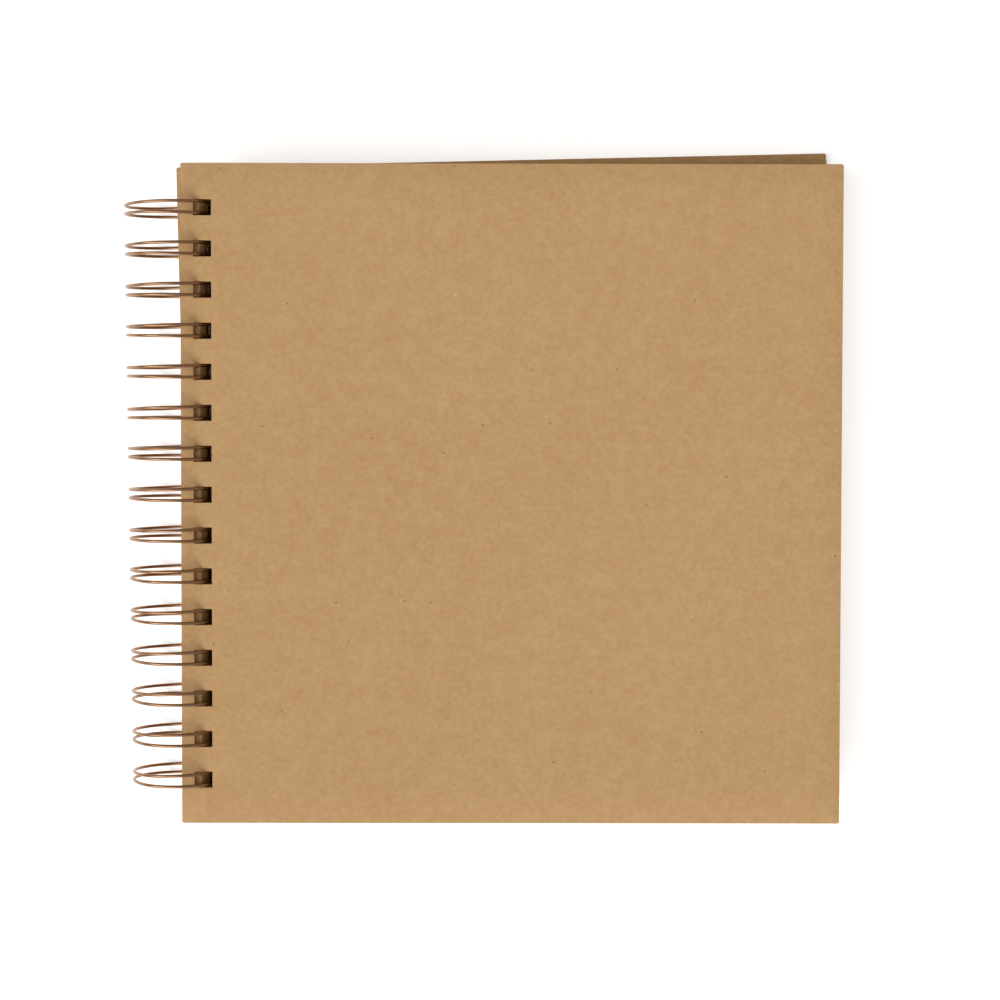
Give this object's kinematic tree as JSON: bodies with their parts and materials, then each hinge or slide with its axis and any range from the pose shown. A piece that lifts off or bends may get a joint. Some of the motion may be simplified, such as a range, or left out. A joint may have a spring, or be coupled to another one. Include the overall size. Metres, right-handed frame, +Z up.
{
  "type": "sketchbook",
  "caption": "Square twin-loop wire-bound sketchbook with plain kraft board covers, lying shut; boards, leaves and wire are separate pieces that turn on the wire.",
  "frame": {"origin": "bottom centre of the closed book's bounding box, on the surface it lies on", "axes": "+Y along the wire and the spine edge, +X from the spine to the fore-edge, +Z up out of the front cover"},
  "size_m": [0.224, 0.21, 0.0276],
  "materials": {
    "kraft_board": "matte",
    "kraft_paper": "matte",
    "coated_wire": "satin"
  },
  "bodies": {
    "back_cover": {"back_cover": "kraft_board"},
    "wire_binding": {"wire_binding": "coated_wire"},
    "leaf_40": {"leaf_40": "kraft_paper"},
    "leaf_39": {"leaf_39": "kraft_paper"},
    "leaf_38": {"leaf_38": "kraft_paper"},
    "leaf_37": {"leaf_37": "kraft_paper"},
    "leaf_36": {"leaf_36": "kraft_paper"},
    "leaf_35": {"leaf_35": "kraft_paper"},
    "leaf_34": {"leaf_34": "kraft_paper"},
    "leaf_33": {"leaf_33": "kraft_paper"},
    "leaf_32": {"leaf_32": "kraft_paper"},
    "leaf_31": {"leaf_31": "kraft_paper"},
    "leaf_30": {"leaf_30": "kraft_paper"},
    "leaf_29": {"leaf_29": "kraft_paper"},
    "leaf_28": {"leaf_28": "kraft_paper"},
    "leaf_27": {"leaf_27": "kraft_paper"},
    "leaf_26": {"leaf_26": "kraft_paper"},
    "leaf_25": {"leaf_25": "kraft_paper"},
    "leaf_24": {"leaf_24": "kraft_paper"},
    "leaf_23": {"leaf_23": "kraft_paper"},
    "leaf_22": {"leaf_22": "kraft_paper"},
    "leaf_21": {"leaf_21": "kraft_paper"},
    "leaf_20": {"leaf_20": "kraft_paper"},
    "leaf_19": {"leaf_19": "kraft_paper"},
    "leaf_18": {"leaf_18": "kraft_paper"},
    "leaf_17": {"leaf_17": "kraft_paper"},
    "leaf_16": {"leaf_16": "kraft_paper"},
    "leaf_15": {"leaf_15": "kraft_paper"},
    "leaf_14": {"leaf_14": "kraft_paper"},
    "leaf_13": {"leaf_13": "kraft_paper"},
    "leaf_12": {"leaf_12": "kraft_paper"},
    "leaf_11": {"leaf_11": "kraft_paper"},
    "leaf_10": {"leaf_10": "kraft_paper"},
    "leaf_09": {"leaf_09": "kraft_paper"},
    "leaf_08": {"leaf_08": "kraft_paper"},
    "leaf_07": {"leaf_07": "kraft_paper"},
    "leaf_06": {"leaf_06": "kraft_paper"},
    "leaf_05": {"leaf_05": "kraft_paper"},
    "leaf_04": {"leaf_04": "kraft_paper"},
    "leaf_03": {"leaf_03": "kraft_paper"},
    "leaf_02": {"leaf_02": "kraft_paper"},
    "leaf_01": {"leaf_01": "kraft_paper"},
    "front_cover": {"front_cover": "kraft_board"}
  },
  "joints": [
    {"name": "front_cover_hinge", "type": "hinge", "parent": "leaf_01", "child": "front_cover", "pos_m": [-0.09816, 0, 0.0138], "axis": [0, -1, 0], "range_deg": [0, 180]},
    {"name": "wire_spin", "type": "hinge", "parent": "back_cover", "child": "wire_binding", "pos_m": [-0.09816, 0, 0.0138], "axis": [0, -1, 0], "range_deg": [-60, 12]},
    {"name": "leaf_01_hinge", "type": "hinge", "parent": "leaf_02", "child": "leaf_01", "pos_m": [-0.09816, 0, 0.0138], "axis": [0, -1, 0], "range_deg": [0, 180]},
    {"name": "leaf_20_hinge", "type": "hinge", "parent": "leaf_21", "child": "leaf_20", "pos_m": [-0.09816, 0, 0.0138], "axis": [0, -1, 0], "range_deg": [0, 180]},
    {"name": "leaf_40_hinge", "type": "hinge", "parent": "back_cover", "child": "leaf_40", "pos_m": [-0.09816, 0, 0.0138], "axis": [0, -1, 0], "range_deg": [0, 180]},
    {"name": "leaf_02_hinge", "type": "hinge", "parent": "leaf_03", "child": "leaf_02", "pos_m": [-0.09816, 0, 0.0138], "axis": [0, -1, 0], "range_deg": [0, 180]},
    {"name": "leaf_03_hinge", "type": "hinge", "parent": "leaf_04", "child": "leaf_03", "pos_m": [-0.09816, 0, 0.0138], "axis": [0, -1, 0], "range_deg": [0, 180]},
    {"name": "leaf_04_hinge", "type": "hinge", "parent": "leaf_05", "child": "leaf_04", "pos_m": [-0.09816, 0, 0.0138], "axis": [0, -1, 0], "range_deg": [0, 180]},
    {"name": "leaf_05_hinge", "type": "hinge", "parent": "leaf_06", "child": "leaf_05", "pos_m": [-0.09816, 0, 0.0138], "axis": [0, -1, 0], "range_deg": [0, 180]},
    {"name": "leaf_06_hinge", "type": "hinge", "parent": "leaf_07", "child": "leaf_06", "pos_m": [-0.09816, 0, 0.0138], "axis": [0, -1, 0], "range_deg": [0, 180]},
    {"name": "leaf_07_hinge", "type": "hinge", "parent": "leaf_08", "child": "leaf_07", "pos_m": [-0.09816, 0, 0.0138], "axis": [0, -1, 0], "range_deg": [0, 180]},
    {"name": "leaf_08_hinge", "type": "hinge", "parent": "leaf_09", "child": "leaf_08", "pos_m": [-0.09816, 0, 0.0138], "axis": [0, -1, 0], "range_deg": [0, 180]},
    {"name": "leaf_09_hinge", "type": "hinge", "parent": "leaf_10", "child": "leaf_09", "pos_m": [-0.09816, 0, 0.0138], "axis": [0, -1, 0], "range_deg": [0, 180]},
    {"name": "leaf_10_hinge", "type": "hinge", "parent": "leaf_11", "child": "leaf_10", "pos_m": [-0.09816, 0, 0.0138], "axis": [0, -1, 0], "range_deg": [0, 180]},
    {"name": "leaf_11_hinge", "type": "hinge", "parent": "leaf_12", "child": "leaf_11", "pos_m": [-0.09816, 0, 0.0138], "axis": [0, -1, 0], "range_deg": [0, 180]},
    {"name": "leaf_12_hinge", "type": "hinge", "parent": "leaf_13", "child": "leaf_12", "pos_m": [-0.09816, 0, 0.0138], "axis": [0, -1, 0], "range_deg": [0, 180]},
    {"name": "leaf_13_hinge", "type": "hinge", "parent": "leaf_14", "child": "leaf_13", "pos_m": [-0.09816, 0, 0.0138], "axis": [0, -1, 0], "range_deg": [0, 180]},
    {"name": "leaf_14_hinge", "type": "hinge", "parent": "leaf_15", "child": "leaf_14", "pos_m": [-0.09816, 0, 0.0138], "axis": [0, -1, 0], "range_deg": [0, 180]},
    {"name": "leaf_15_hinge", "type": "hinge", "parent": "leaf_16", "child": "leaf_15", "pos_m": [-0.09816, 0, 0.0138], "axis": [0, -1, 0], "range_deg": [0, 180]},
    {"name": "leaf_16_hinge", "type": "hinge", "parent": "leaf_17", "child": "leaf_16", "pos_m": [-0.09816, 0, 0.0138], "axis": [0, -1, 0], "range_deg": [0, 180]},
    {"name": "leaf_17_hinge", "type": "hinge", "parent": "leaf_18", "child": "leaf_17", "pos_m": [-0.09816, 0, 0.0138], "axis": [0, -1, 0], "range_deg": [0, 180]},
    {"name": "leaf_18_hinge", "type": "hinge", "parent": "leaf_19", "child": "leaf_18", "pos_m": [-0.09816, 0, 0.0138], "axis": [0, -1, 0], "range_deg": [0, 180]},
    {"name": "leaf_19_hinge", "type": "hinge", "parent": "leaf_20", "child": "leaf_19", "pos_m": [-0.09816, 0, 0.0138], "axis": [0, -1, 0], "range_deg": [0, 180]},
    {"name": "leaf_21_hinge", "type": "hinge", "parent": "leaf_22", "child": "leaf_21", "pos_m": [-0.09816, 0, 0.0138], "axis": [0, -1, 0], "range_deg": [0, 180]},
    {"name": "leaf_22_hinge", "type": "hinge", "parent": "leaf_23", "child": "leaf_22", "pos_m": [-0.09816, 0, 0.0138], "axis": [0, -1, 0], "range_deg": [0, 180]},
    {"name": "leaf_23_hinge", "type": "hinge", "parent": "leaf_24", "child": "leaf_23", "pos_m": [-0.09816, 0, 0.0138], "axis": [0, -1, 0], "range_deg": [0, 180]},
    {"name": "leaf_24_hinge", "type": "hinge", "parent": "leaf_25", "child": "leaf_24", "pos_m": [-0.09816, 0, 0.0138], "axis": [0, -1, 0], "range_deg": [0, 180]},
    {"name": "leaf_25_hinge", "type": "hinge", "parent": "leaf_26", "child": "leaf_25", "pos_m": [-0.09816, 0, 0.0138], "axis": [0, -1, 0], "range_deg": [0, 180]},
    {"name": "leaf_26_hinge", "type": "hinge", "parent": "leaf_27", "child": "leaf_26", "pos_m": [-0.09816, 0, 0.0138], "axis": [0, -1, 0], "range_deg": [0, 180]},
    {"name": "leaf_27_hinge", "type": "hinge", "parent": "leaf_28", "child": "leaf_27", "pos_m": [-0.09816, 0, 0.0138], "axis": [0, -1, 0], "range_deg": [0, 180]},
    {"name": "leaf_28_hinge", "type": "hinge", "parent": "leaf_29", "child": "leaf_28", "pos_m": [-0.09816, 0, 0.0138], "axis": [0, -1, 0], "range_deg": [0, 180]},
    {"name": "leaf_29_hinge", "type": "hinge", "parent": "leaf_30", "child": "leaf_29", "pos_m": [-0.09816, 0, 0.0138], "axis": [0, -1, 0], "range_deg": [0, 180]},
    {"name": "leaf_30_hinge", "type": "hinge", "parent": "leaf_31", "child": "leaf_30", "pos_m": [-0.09816, 0, 0.0138], "axis": [0, -1, 0], "range_deg": [0, 180]},
    {"name": "leaf_31_hinge", "type": "hinge", "parent": "leaf_32", "child": "leaf_31", "pos_m": [-0.09816, 0, 0.0138], "axis": [0, -1, 0], "range_deg": [0, 180]},
    {"name": "leaf_32_hinge", "type": "hinge", "parent": "leaf_33", "child": "leaf_32", "pos_m": [-0.09816, 0, 0.0138], "axis": [0, -1, 0], "range_deg": [0, 180]},
    {"name": "leaf_33_hinge", "type": "hinge", "parent": "leaf_34", "child": "leaf_33", "pos_m": [-0.09816, 0, 0.0138], "axis": [0, -1, 0], "range_deg": [0, 180]},
    {"name": "leaf_34_hinge", "type": "hinge", "parent": "leaf_35", "child": "leaf_34", "pos_m": [-0.09816, 0, 0.0138], "axis": [0, -1, 0], "range_deg": [0, 180]},
    {"name": "leaf_35_hinge", "type": "hinge", "parent": "leaf_36", "child": "leaf_35", "pos_m": [-0.09816, 0, 0.0138], "axis": [0, -1, 0], "range_deg": [0, 180]},
    {"name": "leaf_36_hinge", "type": "hinge", "parent": "leaf_37", "child": "leaf_36", "pos_m": [-0.09816, 0, 0.0138], "axis": [0, -1, 0], "range_deg": [0, 180]},
    {"name": "leaf_37_hinge", "type": "hinge", "parent": "leaf_38", "child": "leaf_37", "pos_m": [-0.09816, 0, 0.0138], "axis": [0, -1, 0], "range_deg": [0, 180]},
    {"name": "leaf_38_hinge", "type": "hinge", "parent": "leaf_39", "child": "leaf_38", "pos_m": [-0.09816, 0, 0.0138], "axis": [0, -1, 0], "range_deg": [0, 180]},
    {"name": "leaf_39_hinge", "type": "hinge", "parent": "leaf_40", "child": "leaf_39", "pos_m": [-0.09816, 0, 0.0138], "axis": [0, -1, 0], "range_deg": [0, 180]}
  ]
}
